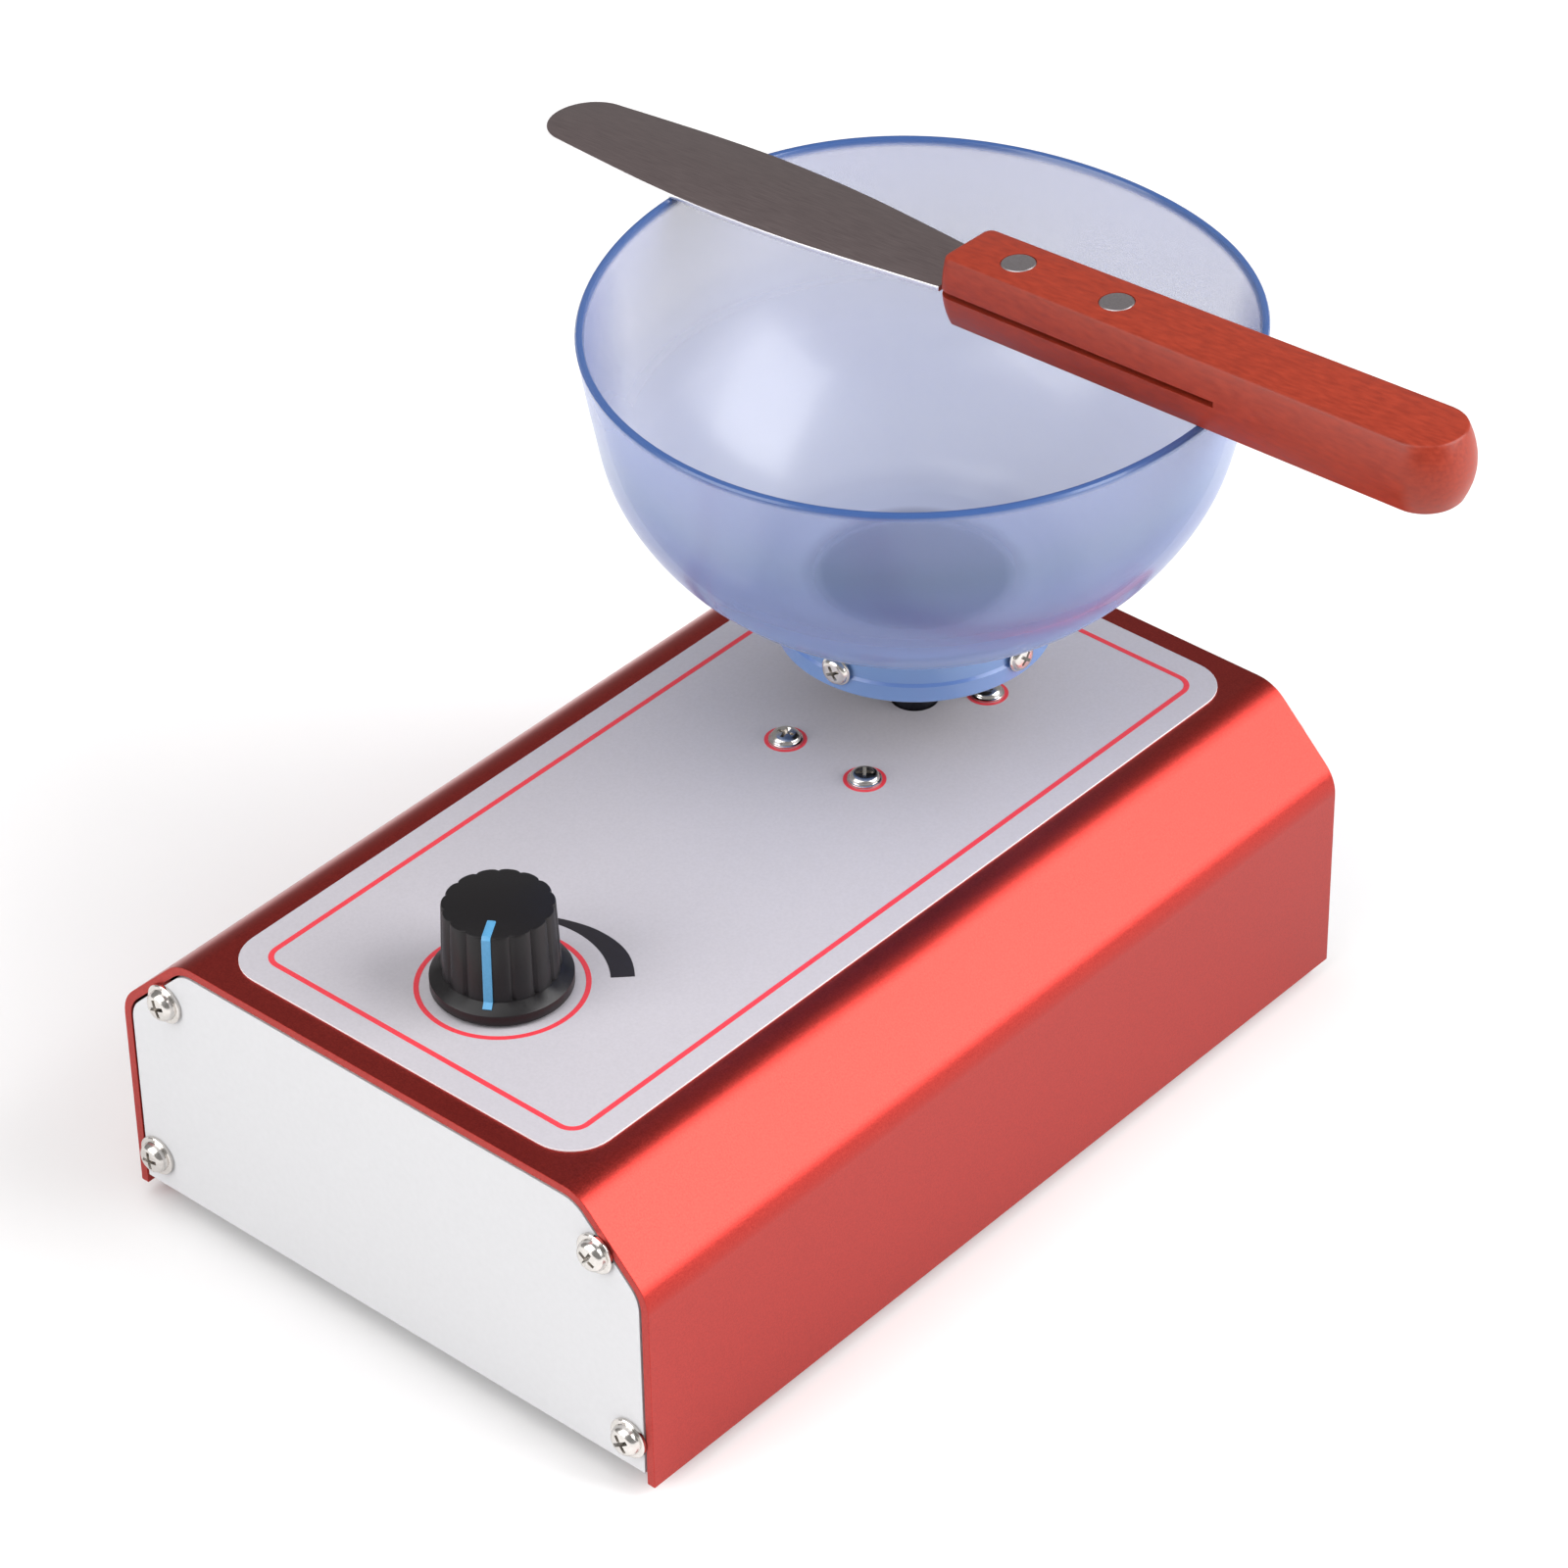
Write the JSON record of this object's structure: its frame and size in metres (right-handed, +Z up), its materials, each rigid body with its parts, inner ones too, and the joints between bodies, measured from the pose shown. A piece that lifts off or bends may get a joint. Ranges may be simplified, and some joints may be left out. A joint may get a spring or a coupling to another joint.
{
  "type": "dental impression mixer",
  "caption": "Bench-top dental impression mixer: a motor turns a flexible bowl on a box with a speed knob, and a mixing spatula lies across the bowl's rim.",
  "frame": {"origin": "on the bench, under the middle of the enclosure", "axes": "+Z up; -Y towards the user, out of the front panel; +X to the user's right, towards the spatula's handle; the mains inlet faces +Y"},
  "size_m": [0.1997, 0.1966, 0.1516],
  "materials": {
    "red_anodised": "satin anodised",
    "printed_grey": "satin printed overlay",
    "white_paint": "satin",
    "plated_sheet": "zinc plated",
    "nickel_plate": "bright",
    "black_rubber": "matt",
    "cast_alloy": "as cast",
    "bronze": "machined",
    "turned_steel": "turned",
    "dark_shaft": "blackened",
    "black_plastic": "satin moulded",
    "pointer_blue": "satin",
    "bowl_blue": "translucent satin",
    "blade_steel": "brushed",
    "lacquered_wood": "satin lacquer",
    "circuit_board": "solder mask",
    "copper_wire": "enamelled",
    "laminations": "varnished",
    "ferrite": "sintered",
    "bare_aluminium": "extruded",
    "terminal_green": "moulded",
    "wire_insulation": "satin",
    "tinned_brass": "tinned",
    "fuse_glass": "clear"
  },
  "bodies": {
    "root": {"top_cover": "red_anodised", "faceplate": "printed_grey", "front_panel": "white_paint", "rear_panel": "white_paint", "base_plate": "plated_sheet", "panel_screws": "nickel_plate", "rubber_feet": "black_rubber", "foot_screws": "nickel_plate", "gearbox_housing": "cast_alloy", "gearbox_lid": "cast_alloy", "gearbox_screws": "nickel_plate", "gearbox_mount_screws": "nickel_plate", "output_bushes": "bronze", "worm_bush": "bronze", "motor_can": "plated_sheet", "motor_magnets": "ferrite", "motor_end_cap": "black_plastic", "motor_bushes": "bronze", "motor_brushes": "ferrite", "motor_terminals": "tinned_brass", "control_board": "circuit_board", "board_standoffs": "tinned_brass", "mounting_screws": "nickel_plate", "board_capacitor": "black_plastic", "bridge_rectifier": "black_plastic", "heat_sink": "bare_aluminium", "power_transistor": "black_plastic", "terminal_block": "terminal_green", "fuse": "fuse_glass", "fuse_clips": "tinned_brass", "transformer_core": "laminations", "transformer_winding": "copper_wire", "transformer_bracket": "plated_sheet", "potentiometer_body": "plated_sheet", "potentiometer_nut": "nickel_plate", "mains_inlet": "black_plastic", "inlet_pins": "tinned_brass", "inlet_screws": "nickel_plate", "switch_housing": "black_plastic", "switch_terminals": "tinned_brass", "mains_leads": "wire_insulation", "low_voltage_leads": "wire_insulation"},
    "bowl": {"output_shaft": "dark_shaft", "worm_wheel": "bronze", "bowl_hub": "dark_shaft", "hub_set_screw": "turned_steel", "mixing_bowl": "bowl_blue", "bowl_screws": "nickel_plate"},
    "rotor": {"motor_shaft": "turned_steel", "worm": "turned_steel", "armature_core": "laminations", "armature_windings": "copper_wire", "commutator": "copper_wire"},
    "knob": {"speed_knob": "black_plastic", "knob_pointer": "pointer_blue", "potentiometer_shaft": "turned_steel"},
    "rocker": {"switch_rocker": "black_plastic"},
    "spatula": {"spatula_blade": "blade_steel", "spatula_handle": "lacquered_wood", "spatula_rivets": "turned_steel"}
  },
  "joints": [
    {"name": "bowl_spin", "type": "hinge", "parent": "root", "child": "bowl", "pos_m": [0, 0.0458, 0.06], "axis": [0, 0, 1], "continuous": true},
    {"name": "rotor_spin", "type": "hinge", "parent": "root", "child": "rotor", "pos_m": [0.015, 0, 0.0399], "axis": [0, 1, 0], "continuous": true},
    {"name": "knob_turn", "type": "hinge", "parent": "root", "child": "knob", "pos_m": [0, -0.0592, 0.06], "axis": [0, 0, 1], "range_deg": [0, 300]},
    {"name": "rocker_tilt", "type": "hinge", "parent": "root", "child": "rocker", "pos_m": [-0.028, 0.0905, 0.036], "axis": [1, 0, 0], "range_deg": [0, 20]},
    {"name": "spatula_lift", "type": "slide", "parent": "bowl", "child": "spatula", "axis": [0, 0, 1], "range_m": [0, 0.06]}
  ],
  "couplings": [
    {"joint": "rotor_spin", "follows": "bowl_spin", "ratio": -20}
  ]
}
